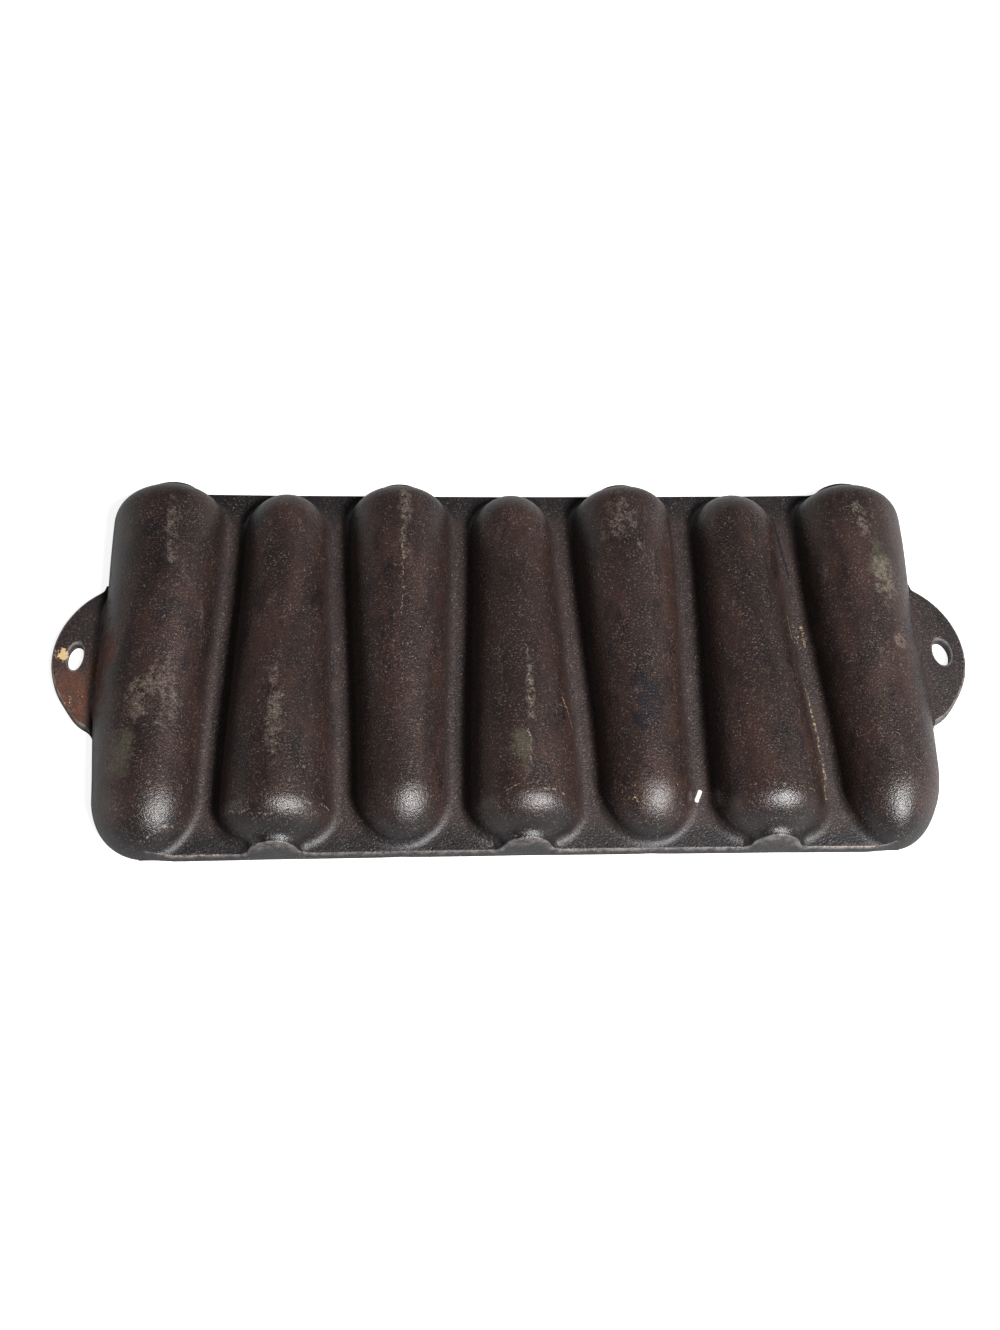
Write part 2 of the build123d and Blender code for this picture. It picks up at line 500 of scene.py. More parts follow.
def settle(p):
    # the drawn-in long edges, the uneven ends and faint lumps of a sand casting
    c = casting
    share = min(abs(p.x) / c["waistLength"], 1.0)
    bow = (1 - share * share) * rise(abs(p.y), c["waistGrowth"])
    y = p.y - bow * (c["waistFar"] if p.y > 0 else -c["waistNear"])
    x = p.x + c["farCornerSpread"] * rise(p.x, c["spreadAlong"]) * rise(p.y, c["spreadAcross"])
    flank = rise(abs(p.x), c["flankGrowth"]) * (1 - rise(abs(p.x), c["flankFade"]))
    if p.x < 0:
        x -= flank * c["leftSwell"] * hump(p.y, *c["leftPlace"])
    else:
        swell = c["rightSwell"] * hump(p.y, *c["rightPlace"])
        x += flank * (swell - c["rightDrawIn"] * rise(-p.y, c["drawInGrowth"]))
    lump = (noise.noise(p * c["lumpScale"]) - c["lumpLevel"]) * c["lumpHeight"]
    z = p.z + min(lump, 0) * rise(p.z, c["lumpGrowth"])
    return Vector((x, y, z))


def finishPiece(bm, name):
    for v in bm.verts:
        v.co = settle(v.co)
    bmesh.ops.scale(bm, vec=(mm, mm, mm), verts=bm.verts)
    bm.normal_update()
    for edge in bm.edges:
        edge.smooth = len(edge.link_faces) == 2 and edge.calc_face_angle(0) < math.radians(38)
    for face in bm.faces:
        face.smooth = True
    mesh = bpy.data.meshes.new(name)
    opened = sum(1 for edge in bm.edges if not edge.is_manifold)
    bm.to_mesh(mesh)
    bm.free()
    piece = bpy.data.objects.new(name, mesh)
    scene.collection.objects.link(piece)
    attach(piece, "root")
    print(name, "faces", len(mesh.polygons), "open edges", opened)
    return piece


moulds = []
for number in range(1, stick["count"] + 1):
    piece = makeMould(f"cornStickMould{number}", number)
    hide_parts(f"stick_mould_{number}")
    moulds.append(piece)
print("moulds made")


# hang ears: a section swept round the hole, from its wall over the top and back below

ear = {
    "reach": 15.9,
    "halfLength": 25.5,
    "offset": 2.3,            # towards the far edge
    "blend": 5.0,
    "blendShare": 0.75,       # of the blend's quarter turn; the rest is inside the flank
    "thickness": 3.2,
    "edgeRounding": 0.95,
    "holeRounding": 0.6,
    "lowerRounding": 0.3,
    "holeWidth": 6.0,
    "holeLength": 9.4,
    "holeFromTip": 7.9,
    "lip": 3.6,               # fillet up the flank of the end stick
    "overlap": 2.0,           # how far its root runs into the flank
    "rootInset": 0.015,       # share of the root's length kept clear at each end
    "weld": 0.001,
    "draft": 3.0,
    "topSteps": 9,
    "arcSteps": 66,
    "blendSteps": 9,
    "rootSteps": 30,
}


def earOutline(side):
    # points round the ear, each with the size of the lip there, and the line of its root
    half, root = ear["halfLength"], ear["halfLength"] + ear["blend"]
    far, near = [
        Vector((side * (lastPlace + taperedRadius(halfDepth - y) + web), y))
        for y in (ear["offset"] + root, ear["offset"] - root)
    ]
    along = (far - near).normalized()
    out = Vector((side * along.y, -side * along.x))
    halfWidth = lastPlace + (stick["buttRadius"] + stick["tipRadius"]) / 2 + web
    radius = (half ** 2 + ear["reach"] ** 2) / (2 * ear["reach"])
    middle = Vector((side * (halfWidth + ear["reach"] - radius), ear["offset"]))
    hole = Vector((side * (halfWidth + ear["reach"] - ear["holeFromTip"]), ear["offset"]))
    blend = ear["blend"]
    away = blend - out.dot(middle - near)
    reach = math.sqrt((radius + blend) ** 2 - away * away)
    centres = [middle + out * away + along * reach * hand for hand in (1, -1)]
    touches = [(middle - c).normalized() for c in centres]
    points = []
    n = ear["blendSteps"]
    share = ear["blendShare"]
    points += [
        centres[0] + blend * (-out).slerp(touches[0], 1 - share + share * k / n) for k in range(n)
    ]
    n = ear["arcSteps"] // 2
    points += [middle - radius * touches[0].slerp(-out, k / n) for k in range(n)]
    points += [middle - radius * (-out).slerp(touches[1], k / n) for k in range(n)]
    n = ear["blendSteps"]
    points += [centres[1] + blend * touches[1].slerp(-out, share * k / n) for k in range(n + 1)]
    outline = [(p, 0.0) for p in points]
    start, stop = points[-1], points[0]
    n = ear["rootSteps"]
    for k in range(n + 1):
        t = ear["rootInset"] + (1 - 2 * ear["rootInset"]) * k / n
        p = start.lerp(stop, t)
        lip = ear["lip"] * smooth(min(t, 1 - t) * 8 + 0.12)
        outline.append((p - out * (out.dot(p - near) + ear["overlap"]), lip))
    return outline, hole, near, out


def earSection(p, lip, normal, hole, near, out):
    # one section, from the foot of the hole's wall outwards and back below
    d = (p - hole).normalized()
    h = hole + d / math.hypot(d.x / (ear["holeWidth"] / 2), d.y / (ear["holeLength"] / 2))
    thick = ear["thickness"]

    def at(q, z):
        return Vector((q.x, q.y, z))

    def onRoot(offset):
        # where the section stands that far outside the line of the root
        return hole + d * (out.dot(near - hole) + offset) / out.dot(d)

    low, holeEdge, edge = ear["lowerRounding"], ear["holeRounding"], ear["edgeRounding"]
    section = [at(h + d * low, 0), at(h + d * low * 0.3, low * 0.3), at(h, low)]
    for k in range(5):
        a = math.pi / 2 * k / 4
        q = h + d * holeEdge * (1 - math.cos(a))
        section.append(at(q, thick - holeEdge * (1 - math.sin(a))))
    inner = h + d * holeEdge
    if lip:
        flank = taperedRadius(halfDepth - p.y) + web
        height = thick + lip
        foot = math.sqrt((flank + lip) ** 2 - height * height)
        centre = Vector((foot, height))
        towards = -centre / (flank + lip)
        arc = [centre + lip * Vector((0, -1)).slerp(towards, k / 6) for k in range(7)]
        outer = onRoot(foot - flank)
    else:
        outer = p - normal * (edge + math.tan(math.radians(ear["draft"])) * thick)
    for k in range(1, ear["topSteps"]):
        section.append(at(inner.lerp(outer, k / ear["topSteps"]), thick))
    if lip:
        section += [at(onRoot(q.x - flank - 0.04 * k), q.y - 0.02 * k) for k, q in enumerate(arc)]
        # down inside the flank, then back below to the hole
        section += [at(p, arc[-1].y - 1.2), at(p, 1.2), at(p, 0.4)]
        rows = [p.lerp(h + d * low, k / 4) for k in range(1, 4)]
        section += [at(q, 0.3 * smooth((0.4 - out.dot(q - near)) / 1.2)) for q in rows]
        return section
    for k in range(7):
        a = math.pi / 2 * k / 6
        section.append(at(outer + normal * edge * math.sin(a), thick - edge * (1 - math.cos(a))))
    section += [at(p, low), at(p - normal * low * 0.3, low * 0.3), at(p - normal * low, 0)]
    section += [at((p - normal * low).lerp(h + d * low, k / 4), 0) for k in range(1, 4)]
    return section


def makeEar(name, side):
    outline, hole, near, out = earOutline(side)
    points = [p for p, lip in outline]
    sections = []
    for k, (p, lip) in enumerate(outline):
        along = points[(k + 1) % len(points)] - points[k - 1]
        normal = Vector((along.y, -along.x)).normalized()
        if normal.dot(p - hole) < 0:
            normal = -normal
        sections.append(earSection(p, lip, normal, hole, near, out))
    bm = bmesh.new()
    stations, rows = len(points), len(sections[0])
    wear = bm.verts.layers.float.new("edgeWear")
    grid = bmesh.ops.create_grid(bm, x_segments=stations, y_segments=rows, size=0.5)["verts"]
    for v in grid:
        station, row = rowOf(v.co.x, stations) % stations, rowOf(v.co.y, rows) % rows
        atHole = 3 <= row <= 7
        atEdge = not outline[station][1] and ear["topSteps"] + 8 <= row <= ear["topSteps"] + 13
        v.co = sections[station][row]
        v[wear] = 1.0 if atHole or atEdge else 0.0
    bmesh.ops.remove_doubles(bm, verts=grid, dist=ear["weld"])
    bmesh.ops.recalc_face_normals(bm, faces=bm.faces)
    return finishPiece(bm, name)


ears = [makeEar("hangEarLeft", -1), makeEar("hangEarRight", 1)]
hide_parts("hang_ear_left")
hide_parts("hang_ear_right")
print("ears made")

# iron

def feed(tree, socket, value):
    if isinstance(value, bpy.types.NodeSocket):
        tree.links.new(value, socket)
    else:
        socket.default_value = value


def addNode(tree, kind, settings=None, **sockets):
    # a socket is given by its name, with _ for a space, or as in0, in1 where names repeat
    node = tree.nodes.new("ShaderNode" + kind)
    for name, value in (settings or {}).items():
        setattr(node, name, value)
    for name, value in sockets.items():
        if name[:2] == "in" and name[2:].isdigit():
            socket = node.inputs[int(name[2:])]
        else:
            socket = node.inputs[name.replace("_", " ")]
        feed(tree, socket, value)
    return node


def newGroup(name, inputs, outputs):
    tree = bpy.data.node_groups.new(name, "ShaderNodeTree")
    for label, kind, value in inputs:
        socket = tree.interface.new_socket(label, in_out="INPUT", socket_type="NodeSocket" + kind)
        if value is not None:
            socket.default_value = value
    for label, kind in outputs:
        tree.interface.new_socket(label, in_out="OUTPUT", socket_type="NodeSocket" + kind)
    given, out = tree.nodes.new("NodeGroupInput"), tree.nodes.new("NodeGroupOutput")
    return tree, given.outputs, out.inputs


def calc(tree, operation, a, b=0.0, c=0.0, clamp=False):
    settings = {"operation": operation, "use_clamp": clamp}
    return addNode(tree, "Math", settings, in0=a, in1=b, in2=c).outputs[0]


def times(tree, a, b):
    return calc(tree, "MULTIPLY", a, b)


def over(tree, value):
    return calc(tree, "DIVIDE", 1.0, value)


def stepBetween(tree, value, low, high):
    node = addNode(
        tree, "MapRange", {"interpolation_type": "SMOOTHSTEP"},
        Value=value, From_Min=low, From_Max=high,
    )
    return node.outputs["Result"]


def vectorMath(tree, operation, a, b, output="Vector"):
    return addNode(tree, "VectorMath", {"operation": operation}, in0=a, in1=b).outputs[output]


def scaled(tree, vector, scale):
    node = addNode(tree, "VectorMath", {"operation": "SCALE"}, in0=vector, Scale=scale)
    return node.outputs["Vector"]


def lengthOf(tree, vector):
    return addNode(tree, "VectorMath", {"operation": "LENGTH"}, in0=vector).outputs["Value"]


def stretched(tree, vector, scale):
    return vectorMath(tree, "MULTIPLY", vector, scale)


def noiseOf(tree, vector, scale, detail=3.0, roughness=0.55, output="Fac"):
    node = addNode(
        tree, "TexNoise", None, Vector=vector, Scale=scale, Detail=detail, Roughness=roughness,
    )
    return node.outputs[output]


def mixColor(tree, factor, a, b):
    node = tree.nodes.new("ShaderNodeMix")
    node.data_type = "RGBA"
    for index, value in ((0, factor), (6, a), (7, b)):
        feed(tree, node.inputs[index], value)
    return node.outputs[2]


def srgb(red, green, blue):
    # a colour as it looks on screen, 0 to 255, as the shader wants it
    channels = [c / 255 for c in (red, green, blue)]
    linear = [c / 12.92 if c <= 0.04045 else ((c + 0.055) / 1.055) ** 2.4 for c in channels]
    return (*linear, 1)


def makeCastGrain():
    # sand-cast skin; Vector in millimetres
    tree, given, out = newGroup(
        "castGrain",
        [("Vector", "Vector", None), ("Grain Size", "Float", 1.0), ("Pit Spacing", "Float", 6.0)],
        [("Grain", "Float"), ("Pits", "Float"), ("Height", "Float")],
    )
    v = given["Vector"]
    scale = over(tree, given["Grain Size"])
    coarse = noiseOf(tree, v, scale, 2.0, 0.5)
    fine = noiseOf(tree, v, times(tree, scale, 2.6), 2.0, 0.6)
    cells = addNode(
        tree, "TexVoronoi", {"feature": "F1"}, Vector=v,
        Scale=over(tree, given["Pit Spacing"]), Randomness=1.0,
    )
    chance = addNode(tree, "SeparateColor", None, Color=cells.outputs["Color"]).outputs[0]
    edge = calc(tree, "MULTIPLY_ADD", fine, 0.1, times(tree, chance, 0.1))
    pits = stepBetween(tree, cells.outputs["Distance"], edge, times(tree, edge, 0.4))
    pits = times(tree, pits, stepBetween(tree, chance, 0.45, 0.75))
    height = calc(tree, "MULTIPLY_ADD", coarse, 0.65, times(tree, fine, 0.35))
    height = calc(tree, "SUBTRACT", height, times(tree, pits, 0.6))
    grain = calc(tree, "MULTIPLY_ADD", fine, 0.6, times(tree, coarse, 0.4))
    tree.links.new(grain, out["Grain"])
    tree.links.new(pits, out["Pits"])
    tree.links.new(height, out["Height"])
    return tree


def makeDustAndSheen():
    # pale flecks that gather in streaks, for dust and painted sheen; Stretch is how far these run
    # each way, in millimetres
    tree, given, out = newGroup(
        "dustAndSheenScuffs",
        [("Vector", "Vector", None), ("Stretch", "Vector", (8, 30, 8)), ("Cover", "Float", 0.5),
         ("Fleck Size", "Float", 0.6)],
        [("Mask", "Float")],
    )
    v = given["Vector"]
    wide = vectorMath(tree, "DIVIDE", v, given["Stretch"])
    where = noiseOf(tree, wide, 1.0, 4.0, 0.6)
    low = calc(tree, "SUBTRACT", 0.72, times(tree, given["Cover"], 0.4))
    where = stepBetween(tree, where, low, calc(tree, "ADD", low, 0.2))
    flecks = noiseOf(tree, v, over(tree, given["Fleck Size"]), 3.0, 0.7)
    flecks = calc(tree, "MULTIPLY_ADD", stepBetween(tree, flecks, 0.42, 0.66), 0.75, 0.25)
    broken = stepBetween(tree, noiseOf(tree, v, 0.5, 3.0, 0.65), 0.38, 0.6)
    mask = times(tree, where, times(tree, flecks, broken))
    tree.links.new(mask, out["Mask"])
    return tree


def makeMark():
    # one ragged patch at a place on the pan
    tree, given, out = newGroup(
        "raggedMark",
        [("Vector", "Vector", None), ("Centre", "Vector", (0, 0, 0)),
         ("Reach", "Vector", (5, 5, 5)), ("Ragged", "Float", 0.5),
         ("Ragged Size", "Float", 2.0), ("Soft", "Float", 0.4)],
        [("Mask", "Float")],
    )
    v = given["Vector"]
    away = vectorMath(tree, "SUBTRACT", v, given["Centre"])
    length = lengthOf(tree, vectorMath(tree, "DIVIDE", away, given["Reach"]))
    ragged = noiseOf(tree, v, over(tree, given["Ragged Size"]), 4.0, 0.65)
    ragged = times(tree, calc(tree, "SUBTRACT", ragged, 0.5), given["Ragged"])
    length = calc(tree, "MULTIPLY_ADD", ragged, 3.0, length)
    mask = stepBetween(tree, length, 1.0, calc(tree, "SUBTRACT", 1.0, given["Soft"]))
    tree.links.new(mask, out["Mask"])
    return tree


def makeThread():
    # a thin wavering line from Start to End, seen from above, broken up by noise
    tree, given, out = newGroup(
        "waveringLine",
        [("Vector", "Vector", None), ("Start", "Vector", (0, 0, 0)), ("End", "Vector", (10, 0, 0)),
         ("Width", "Float", 0.4), ("Waver", "Float", 2.0), ("Waver Size", "Float", 6.0),
         ("Broken", "Float", 0.4)],
        [("Mask", "Float")],
    )
    flat = (1, 1, 0)
    start = stretched(tree, given["Start"], flat)
    span = vectorMath(tree, "SUBTRACT", stretched(tree, given["End"], flat), start)
    v = stretched(tree, given["Vector"], flat)
    away = vectorMath(tree, "SUBTRACT", v, start)
    along = vectorMath(tree, "DOT_PRODUCT", away, span, "Value")
    along = calc(tree, "DIVIDE", along, vectorMath(tree, "DOT_PRODUCT", span, span, "Value"))
    held = calc(tree, "MAXIMUM", calc(tree, "MINIMUM", along, 1.0), 0.0)
    foot = scaled(tree, span, held)
    waverScale = over(tree, given["Waver Size"])
    shift = noiseOf(tree, v, waverScale, 3.0, 0.6, "Color")
    shift = vectorMath(tree, "SUBTRACT", shift, (0.5, 0.5, 0.5))
    shift = scaled(tree, stretched(tree, shift, flat), given["Waver"])
    off = lengthOf(tree, vectorMath(tree, "ADD", vectorMath(tree, "SUBTRACT", away, foot), shift))
    width, broken = given["Width"], given["Broken"]
    line = stepBetween(tree, off, width, times(tree, width, 0.3))
    gaps = noiseOf(tree, given["Vector"], 1.3, 2.0, 0.6)
    low, high = calc(tree, "SUBTRACT", broken, 0.1), calc(tree, "ADD", broken, 0.1)
    gaps = stepBetween(tree, gaps, low, high)
    tree.links.new(times(tree, line, gaps), out["Mask"])
    return tree


castGrain, dustAndSheenScuffs = makeCastGrain(), makeDustAndSheen()
raggedMark, waveringLine = makeMark(), makeThread()


def useGroup(tree, group, **sockets):
    node = tree.nodes.new("ShaderNodeGroup")
    node.node_tree = group
    for name, value in sockets.items():
        feed(tree, node.inputs[name.replace("_", " ")], value)
    return node.outputs


ironLook = {
    "brown": srgb(33, 24, 21),
    "redBrown": srgb(43, 28, 24),
    "black": srgb(13, 10, 12),
    "blueBlack": srgb(14, 13, 19),
    "steel": srgb(42, 36, 36),
    "olive": srgb(66, 64, 52),
    "paleDustAndSheen": srgb(118, 106, 95),
    "speck": srgb(126, 114, 107),
    "bare": srgb(112, 107, 104),
    "rust": srgb(80, 44, 27),
    "tan": srgb(184, 156, 114),
    "white": srgb(215, 212, 206),
    "grainSize": 0.7,
    "pitSpacing": 3.4,
    "smoothest": 0.12,
    "bumpHeight": 0.0002,
    "specular": 0.42,
}

# marks on the pan in millimetres: the middle of each and how far it reaches,
# or for a line its start, its end and its width
# dust and painted sheen on the crowns
dustAndSheenPlaces = [
    ((-107.5, 42, 19), (5, 19, 6)), ((-110, -16, 16), (12, 20, 9)),
    ((-73.4, -27, 19), (3.6, 27, 5)), ((-35, 46, 18), (4.5, 22, 6)),
    ((1.8, -22, 19), (2.8, 20, 5)), ((33.5, 42, 18), (9, 18, 7)), ((116, 21, 17), (6.5, 14, 7)),
    ((112.5, 43, 19), (4, 13, 5)), ((118.3, -1, 15.6), (4, 6, 5)),
]
# painted highlights in olive grey, on the left flank of the first stick and on the crowns of the
# fourth and last
oliveHighlightPlaces = [
    ((-1.3, -39, 19.6), (4, 10, 4)), ((-117, -38, 14), (5, 14, 6)), ((116, 26, 17), (5, 14, 6)),
]
# painted shade on the flanks of the end sticks and on the near slopes, and dark patches on the ears
# and on the sixth stick
paintedShadeAndDarkPlaces = [
    ((-117, 8, 12), (5, 40, 9)), ((-112, 30, 16), (13, 32, 10)), ((123, -8, 9), (7, 48, 9)),
    ((137, 0, 3.2), (16, 40, 7)), ((-134, 16, 3.2), (13, 19, 6)), ((74, 20, 16), (9, 24, 8)),
    ((-70, -60, 10), (14, 6, 8)), ((9, -58, 12), (15, 6, 9)),
]
polishedPlaces = [
    ((-73, -50, 17), (13, 13, 9)), ((0, -50, 17), (13, 13, 9)), ((73, -50, 17), (13, 13, 9)),
]
smudgePlaces = [((37, -22, 17), (4, 11, 4)), ((35.5, -27, 17), (2.5, 7, 4))]
rustPlaces = [
    ((-126.5, -4, 7), (7, 24, 11)), ((-125, -3, 9), (5, 18, 9)), ((-137, -14, 3), (11, 17, 5)),
]
fleckPlaces = [
    ((-136, -13, 3.2), (4.5, 6, 3)), ((89.5, 9, 6), (4, 6, 7)), ((-127, -4, 3), (5, 12, 9)),
    ((34, -52, 12), (10, 6, 8)),
]
tanPlaces = [((-140.4, 2.9, 3.2), (2.4, 2.0, 2))]
tanLines = [
    ((90.2, -11.5, 0), (91.8, -34.3, 0), 0.55), ((91.8, -34.3, 0), (90.7, -49.5, 0), 0.5),
    ((85.9, 13, 0), (86.6, 4, 0), 0.7), ((91.6, 12, 0), (92.2, 4, 0), 0.6),
    ((12.5, -19, 0), (15, -27, 0), 0.35),
]
splitLines = [((88.1, 54.7, 0), (90.6, 30.8, 0), 0.7)]
whiteLines = [((51.5, -49.3, 0), (52.8, -46.2, 0), 0.8)]
paleLines = [
    ((-89, -54.8, 0), (-73.5, -58.0, 0), 0.4), ((-73.5, -58.0, 0), (-58.4, -52.9, 0), 0.4),
    ((4.7, -52.1, 0), (15, -52.6, 0), 0.45), ((-8, -53, 0), (3, -50, 0), 0.3),
    ((-35.3, 60, 0), (-35.9, 6, 0), 0.35), ((1.9, -3, 0), (0.9, -46, 0), 0.3),
    ((60.8, -51, 0), (84.1, -52, 0), 0.4), ((-110, -62, 0), (-102, -58.5, 0), 0.4),
]
# painted highlight along the top edge of the near rim
rimHighlightLines = [
    ((9, -64.7, 0), (47.8, -64.9, 0), 0.3), ((86.6, -64.8, 0), (104, -64.8, 0), 0.35),
    ((-104, -64.8, 0), (-88, -64.6, 0), 0.3),
]


def startMaterial(name, look):
    # a new material, the place on the pan in millimetres and the grain there
    material = bpy.data.materials.new(name)
    material.use_nodes = True
    tree = material.node_tree
    v = scaled(tree, addNode(tree, "TexCoord").outputs["Object"], 1 / mm)
    grain = useGroup(
        tree, castGrain, Vector=v, Grain_Size=look["grainSize"], Pit_Spacing=look["pitSpacing"],
    )
    return material, tree, v, grain


def feedShader(tree, look, color, rough, relief):
    sockets = tree.nodes["Principled BSDF"].inputs
    bump = addNode(tree, "Bump", None, Strength=1.0, Distance=look["bumpHeight"], Height=relief)
    tree.links.new(color, sockets["Base Color"])
    tree.links.new(rough, sockets["Roughness"])
    tree.links.new(bump.outputs["Normal"], sockets["Normal"])
    sockets["Specular IOR Level"].default_value = look["specular"]


def makeIron():
    look = ironLook
    material, tree, v, grain = startMaterial("seasonedIron", look)
    apart = addNode(tree, "SeparateXYZ", None, Vector=v)
    across, height = apart.outputs["Y"], apart.outputs["Z"]

    def most(masks):
        total = masks[0]
        for mask in masks[1:]:
            total = calc(tree, "MAXIMUM", total, mask)
        return total

    def marks(places, ragged, size, soft):
        return most([
            useGroup(tree, raggedMark, Vector=v, Centre=centre, Reach=reach, Ragged=ragged,
                     Ragged_Size=size, Soft=soft)["Mask"]
            for centre, reach in places
        ])

    def lines(places, waver, broken):
        return most([
            useGroup(tree, waveringLine, Vector=v, Start=start, End=end, Width=width, Waver=waver,
                     Waver_Size=5.0, Broken=broken)["Mask"]
            for start, end, width in places
        ])

    def lay(color, mask, amount, name):
        return mixColor(tree, times(tree, mask, amount), color, look[name])

    # brown and black baked-on oil in long soft patches
    patches = noiseOf(tree, stretched(tree, v, (0.07, 0.035, 0.07)), 1.0, 4.0, 0.6)
    color = mixColor(tree, stepBetween(tree, patches, 0.4, 0.62), look["brown"], look["redBrown"])
    stains = noiseOf(tree, stretched(tree, v, (0.15, 0.07, 0.15)), 1.0, 5.0, 0.68)
    color = lay(color, stepBetween(tree, stains, 0.46, 0.7), 0.8, "black")
    # painted shade on flanks and near slopes, with a few dark patches
    color = lay(color, marks(paintedShadeAndDarkPlaces, 0.6, 6.0, 0.8), 0.65, "black")
    # painted highlights in olive grey
    color = lay(color, marks(oliveHighlightPlaces, 0.7, 5.0, 0.8), 0.6, "olive")

    # greyer low down, on the feet of the sticks and on the web
    low = stepBetween(tree, height, 9.5, 4.2)
    grainy = stepBetween(tree, grain["Grain"], 0.38, 0.66)
    grainy = calc(tree, "MULTIPLY_ADD", grainy, 0.6, 0.1)
    color = lay(color, times(tree, low, grainy), 1.0, "steel")

    # painted shade along the near edge and on the web at the far edge
    paintedShadeBands = times(tree, stepBetween(tree, across, 50, 60), stepBetween(tree, height, 7, 4))
    paintedShadeBands = calc(tree, "MAXIMUM", paintedShadeBands, stepBetween(tree, across, -54, -62))
    color = lay(color, paintedShadeBands, 0.9, "black")

    # rust round the left ear
    rust = marks(rustPlaces, 0.55, 6.0, 0.6)
    uneven = stepBetween(tree, noiseOf(tree, v, 0.45, 5.0, 0.7), 0.36, 0.62)
    rust = times(tree, rust, calc(tree, "MULTIPLY_ADD", uneven, 0.5, 0.45))
    color = lay(color, rust, 0.95, "rust")

    # grain in the colour: pale specks, dark hollows and pits
    specks = noiseOf(tree, v, 1.55, 3.0, 0.75)
    sparse = noiseOf(tree, stretched(tree, v, (0.2, 0.1, 0.2)), 1.0, 3.0, 0.6)
    sparse = calc(tree, "MULTIPLY_ADD", stepBetween(tree, sparse, 0.3, 0.7), 0.45, 0.08)
    color = lay(color, stepBetween(tree, specks, 0.54, 0.7), sparse, "speck")
    color = lay(color, stepBetween(tree, grain["Grain"], 0.52, 0.34), 0.75, "black")
    color = lay(color, grain["Pits"], 0.85, "black")

    # dust and painted sheen: pale scuffs high on the sticks, thick in a few places
    thick = marks(dustAndSheenPlaces, 0.6, 5.0, 0.85)
    paleDustAndSheen = useGroup(tree, dustAndSheenScuffs, Vector=v, Stretch=(4.0, 18.0, 7.0), Fleck_Size=0.5,
                    Cover=calc(tree, "MULTIPLY_ADD", thick, 0.75, 0.3))["Mask"]
    paleDustAndSheen = times(tree, paleDustAndSheen, stepBetween(tree, height, 5.0, 15.0))
    color = lay(color, paleDustAndSheen, 0.46, "paleDustAndSheen")
    color = lay(color, marks(smudgePlaces, 1.6, 3.0, 0.4), 0.75, "blueBlack")

    # thin pale and dark lines, and loose flecks
    flecks = stepBetween(tree, noiseOf(tree, v, 1.1, 3.0, 0.7), 0.6, 0.68)
    color = lay(color, times(tree, marks(fleckPlaces, 0.6, 3.0, 0.7), flecks), 0.75, "tan")
    color = lay(color, marks(tanPlaces, 1.3, 1.3, 0.4), 0.9, "tan")
    color = lay(color, lines(splitLines, 2.2, 0.1), 0.9, "black")
    color = lay(color, lines(tanLines, 2.2, 0.53), 0.4, "tan")
    color = lay(color, lines(paleLines, 4.5, 0.5), 0.7, "paleDustAndSheen")
    color = lay(color, lines(whiteLines, 0.5, 0.0), 1.0, "white")

    # edges rubbed bare
    wear = addNode(tree, "Attribute", {"attribute_name": "edgeWear"}).outputs["Fac"]
    rubbed = calc(tree, "MULTIPLY_ADD", noiseOf(tree, v, 0.5, 4.0, 0.65), 1.2, wear)
    color = lay(color, stepBetween(tree, rubbed, 1.3, 1.8), 0.6, "bare")
    # painted highlight: a pale line along the top edge of the near rim
    rimHighlight = times(tree, lines(rimHighlightLines, 0.5, 0.5), stepBetween(tree, height, 2.2, 2.9))
    color = lay(color, rimHighlight, 0.85, "paleDustAndSheen")

    rough = calc(tree, "MULTIPLY_ADD", patches, 0.3, look["smoothest"])
    rough = calc(tree, "ADD", rough, times(tree, specks, 0.2))
    dull = calc(tree, "MAXIMUM", times(tree, paleDustAndSheen, 0.25), times(tree, rust, 0.7))
    rough = calc(tree, "ADD", rough, dull)
    polished = times(tree, marks(polishedPlaces, 0.4, 6.0, 0.6), 0.028)
    rough = calc(tree, "SUBTRACT", rough, polished)
    rough = calc(tree, "ADD", rough, times(tree, low, 0.1), clamp=True)
    relief = calc(tree, "MULTIPLY_ADD", specks, 0.55, grain["Height"])
    feedShader(tree, look, color, rough, relief)
    return material


cookingLook = {
    "dark": srgb(34, 28, 27),
    "brown": srgb(52, 41, 36),
    "black": srgb(18, 15, 16),
    "grainSize": 0.6,
    "pitSpacing": 5.0,
    "smoothest": 0.24,
    "bumpHeight": 0.00012,
    "specular": 0.5,
}


def makeCookingFace():
    look = cookingLook
    material, tree, v, grain = startMaterial("cookingFace", look)
    patches = noiseOf(tree, stretched(tree, v, (0.1, 0.06, 0.1)), 1.0, 4.0, 0.6)
    color = mixColor(tree, stepBetween(tree, patches, 0.35, 0.7), look["dark"], look["brown"])
    color = mixColor(tree, times(tree, grain["Pits"], 0.7), color, look["black"])
    rough = calc(tree, "MULTIPLY_ADD", patches, 0.25, look["smoothest"])
    feedShader(tree, look, color, rough, grain["Height"])
    return material


iron, cookingFace = makeIron(), makeCookingFace()
for piece in moulds:
    piece.data.materials.append(iron)
    piece.data.materials.append(cookingFace)
for piece in ears:
    piece.data.materials.append(iron)
print("finish on")

# floor, light and camera

studio = {
    "ambient": 0.05,
    "ceiling": 0.05,
    "ceilingFrom": 0.3,       # sine of the height above the floor
    "wallTo": 0.03,
    "keyPower": 24.0,
    "keyWay": (44, 52),       # degrees from the near edge towards the right, and above the floor
    "keyDistance": 900,
    "keySize": 205,
    "sidePower": 0.75,
    "sideWay": (-86, 10),
    "sideDistance": 900,
    "sideSize": 80,
    "floorReach": 700,
    "floorShade": 0.36,
    "floorGlow": 0.89,        # what the camera sees of the floor besides the light on it
}

camera = {
    "height": 59.155,         # degrees above the floor
    "around": -7.2,
    "roll": 5.874,
    "distance": 466.287,
    "target": (-5.274, 0.252, 0),
    "lens": 53.277,
}


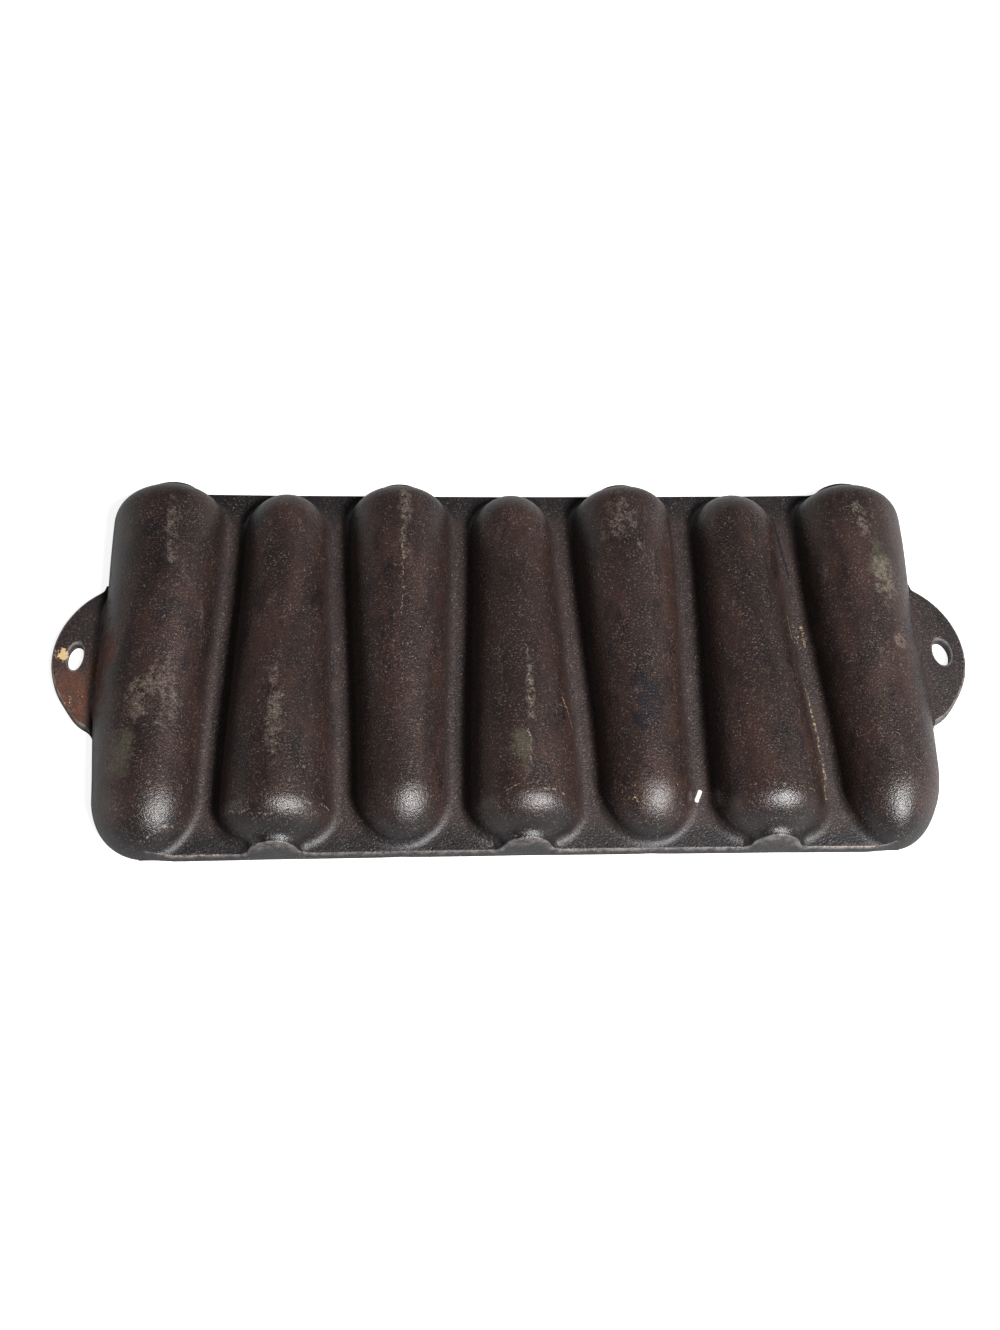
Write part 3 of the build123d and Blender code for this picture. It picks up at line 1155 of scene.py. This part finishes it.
def placeOf(around, height, distance):
    a, h = math.radians(around), math.radians(height)
    return Vector((math.sin(a) * math.cos(h), -math.cos(a) * math.cos(h), math.sin(h))) * distance


def softbox(name, power, way, distance, size):
    data = bpy.data.lights.new(name, "AREA")
    data.shape = "RECTANGLE"
    data.energy = power
    data.size = size * mm
    data.size_y = size * mm
    lamp = bpy.data.objects.new(name, data)
    place = placeOf(*way, distance * mm)
    lamp.location = place
    lamp.rotation_euler = place.to_track_quat("Z", "Y").to_euler()
    scene.collection.objects.link(lamp)


softbox("key", studio["keyPower"], studio["keyWay"], studio["keyDistance"], studio["keySize"])
softbox("side", studio["sidePower"], studio["sideWay"], studio["sideDistance"], studio["sideSize"])

world = bpy.data.worlds.new("studio")
world.use_nodes = True
scene.world = world
tree = world.node_tree
tree.nodes.clear()
direction = addNode(tree, "TexCoord").outputs["Generated"]
upward = addNode(tree, "SeparateXYZ", None, Vector=direction).outputs["Z"]
# all white to the eye; a reflection sees it darken overhead; what lights the pan is weaker
path = addNode(tree, "LightPath")
straight = calc(tree, "MAXIMUM", path.outputs["Is Camera Ray"], path.outputs["Is Transmission Ray"])
walls = stepBetween(tree, upward, studio["ceilingFrom"], studio["wallTo"])
walls = calc(tree, "MAXIMUM", straight, walls)
backdrop = mixColor(tree, walls, (studio["ceiling"],) * 3 + (1,), (1, 1, 1, 1))
seen = addNode(tree, "Background", None, Color=backdrop)
room = addNode(tree, "Background", None, Color=(1, 1, 1, 1), Strength=studio["ambient"])
shown = calc(tree, "MAXIMUM", straight, path.outputs["Is Glossy Ray"])
mixed = addNode(tree, "MixShader", None, in0=shown, in1=room.outputs[0], in2=seen.outputs[0])
output = tree.nodes.new("ShaderNodeOutputWorld")
tree.links.new(mixed.outputs[0], output.inputs["Surface"])

bm = bmesh.new()
bmesh.ops.create_grid(bm, x_segments=1, y_segments=1, size=studio["floorReach"] * mm)
floorMesh = bpy.data.meshes.new("floor")
bm.to_mesh(floorMesh)
bm.free()
floor = bpy.data.objects.new("floor", floorMesh)
scene.collection.objects.link(floor)
paper = bpy.data.materials.new("whitePaper")
paper.use_nodes = True
nodes, links = paper.node_tree.nodes, paper.node_tree.links
sockets = nodes["Principled BSDF"].inputs
sockets["Base Color"].default_value = (studio["floorShade"],) * 3 + (1,)
sockets["Roughness"].default_value = 1
sockets["Specular IOR Level"].default_value = 0
glow = nodes.new("ShaderNodeLightPath")
links.new(glow.outputs["Is Camera Ray"], sockets["Emission Strength"])
sockets["Emission Color"].default_value = (studio["floorGlow"],) * 3 + (1,)
floorMesh.materials.append(paper)

lens = bpy.data.cameras.new("camera")
lens.sensor_fit = "HORIZONTAL"
lens.sensor_width = 36
lens.lens = camera["lens"]
lens.clip_start = 0.01
eye = bpy.data.objects.new("camera", lens)
target = Vector(camera["target"])
back = placeOf(camera["around"], camera["height"], 1)
right = (-back).cross(Vector((0, 0, 1))).normalized()
up = right.cross(-back)
roll = math.radians(camera["roll"])
tiltedRight = right * math.cos(roll) + up * math.sin(roll)
tiltedUp = up * math.cos(roll) - right * math.sin(roll)
turn = Matrix((tiltedRight, tiltedUp, back)).transposed()
eye.matrix_world = Matrix.Translation((target + back * camera["distance"]) * mm) @ turn.to_4x4()
scene.collection.objects.link(eye)
scene.camera = eye
scene.view_settings.view_transform = "Standard"
print("studio ready")
